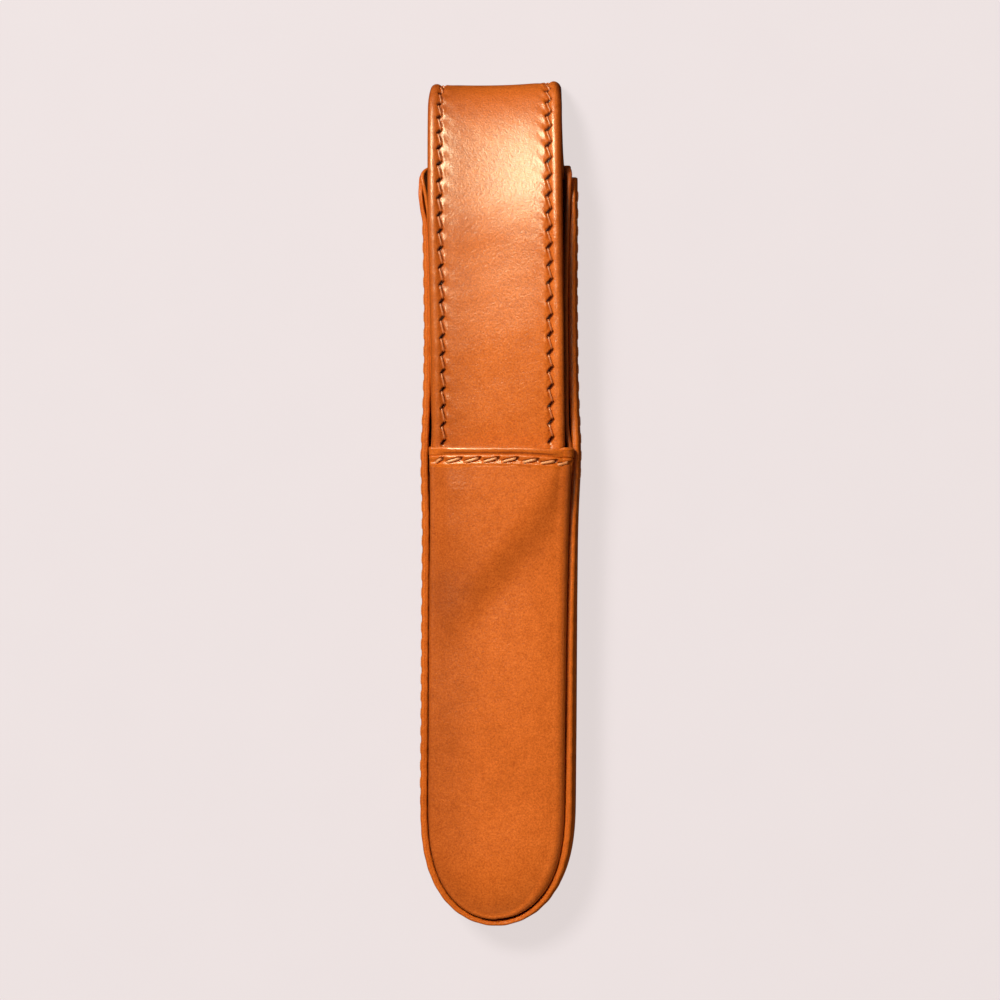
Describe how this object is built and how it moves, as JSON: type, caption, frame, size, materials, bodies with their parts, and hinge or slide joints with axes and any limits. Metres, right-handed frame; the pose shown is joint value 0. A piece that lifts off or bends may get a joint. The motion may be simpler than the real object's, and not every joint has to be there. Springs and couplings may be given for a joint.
{
  "type": "fountain pen case",
  "caption": "Slim leather sleeve for one fountain pen: moulded stitched shell with a rounded toe and a strap flap that folds over the top and tucks into the bound mouth.",
  "frame": {"origin": "under the middle of the case, on the plane that the flat back rests on", "axes": "+Y along the case towards the fold of the flap, -Y towards the rounded toe; +X to the right as the case lies on its back and is seen from above; +Z out of the front of the case, up off the table"},
  "size_m": [0.0326, 0.1695, 0.0205],
  "materials": {
    "tan_leather": "smooth cognac tan full-grain leather with fine pebbled grain, soft sheen",
    "binding_leather": "thin pared tan leather strip, turned over and burnished",
    "lining_suede": "matt split suede lining",
    "leather_board": "bonded leather fibre board stiffener, raw",
    "waxed_thread": "waxed polyester sewing thread, light tan"
  },
  "bodies": {
    "case": {"back_shell": "tan_leather", "back_board": "leather_board", "back_lining": "lining_suede", "front_shell": "tan_leather", "front_lining": "lining_suede", "mouth_binding": "binding_leather", "mouth_thread": "waxed_thread", "side_seam_thread": "waxed_thread"},
    "fold_lower": {"fold_lower_leather": "tan_leather", "fold_lower_lining": "lining_suede", "fold_lower_thread_left": "waxed_thread", "fold_lower_thread_right": "waxed_thread"},
    "fold_upper": {"fold_upper_leather": "tan_leather", "fold_upper_lining": "lining_suede", "fold_upper_thread_left": "waxed_thread", "fold_upper_thread_right": "waxed_thread"},
    "flap": {"flap_leather": "tan_leather", "flap_board": "leather_board", "flap_lining": "lining_suede", "flap_thread_left": "waxed_thread", "flap_thread_right": "waxed_thread", "tongue_leather": "tan_leather", "tongue_lining": "lining_suede"}
  },
  "joints": [
    {"name": "back_fold", "type": "hinge", "parent": "case", "child": "fold_lower", "pos_m": [0, 0.08342, 0.00088], "axis": [-1, 0, 0], "range_deg": [0, 44]},
    {"name": "crown_fold", "type": "hinge", "parent": "fold_lower", "child": "fold_upper", "pos_m": [0, 0.08298, 0.00749], "axis": [-1, 0, 0], "range_deg": [0, 66]},
    {"name": "flap_fold", "type": "hinge", "parent": "fold_upper", "child": "flap", "pos_m": [0, 0.07123, 0.01585], "axis": [-1, 0, 0], "range_deg": [0, 66], "deforming": ["tongue_leather", "tongue_lining"]}
  ],
  "couplings": [
    {"joint": "crown_fold", "follows": "back_fold", "ratio": 1.5},
    {"joint": "flap_fold", "follows": "back_fold", "ratio": 1.5}
  ]
}
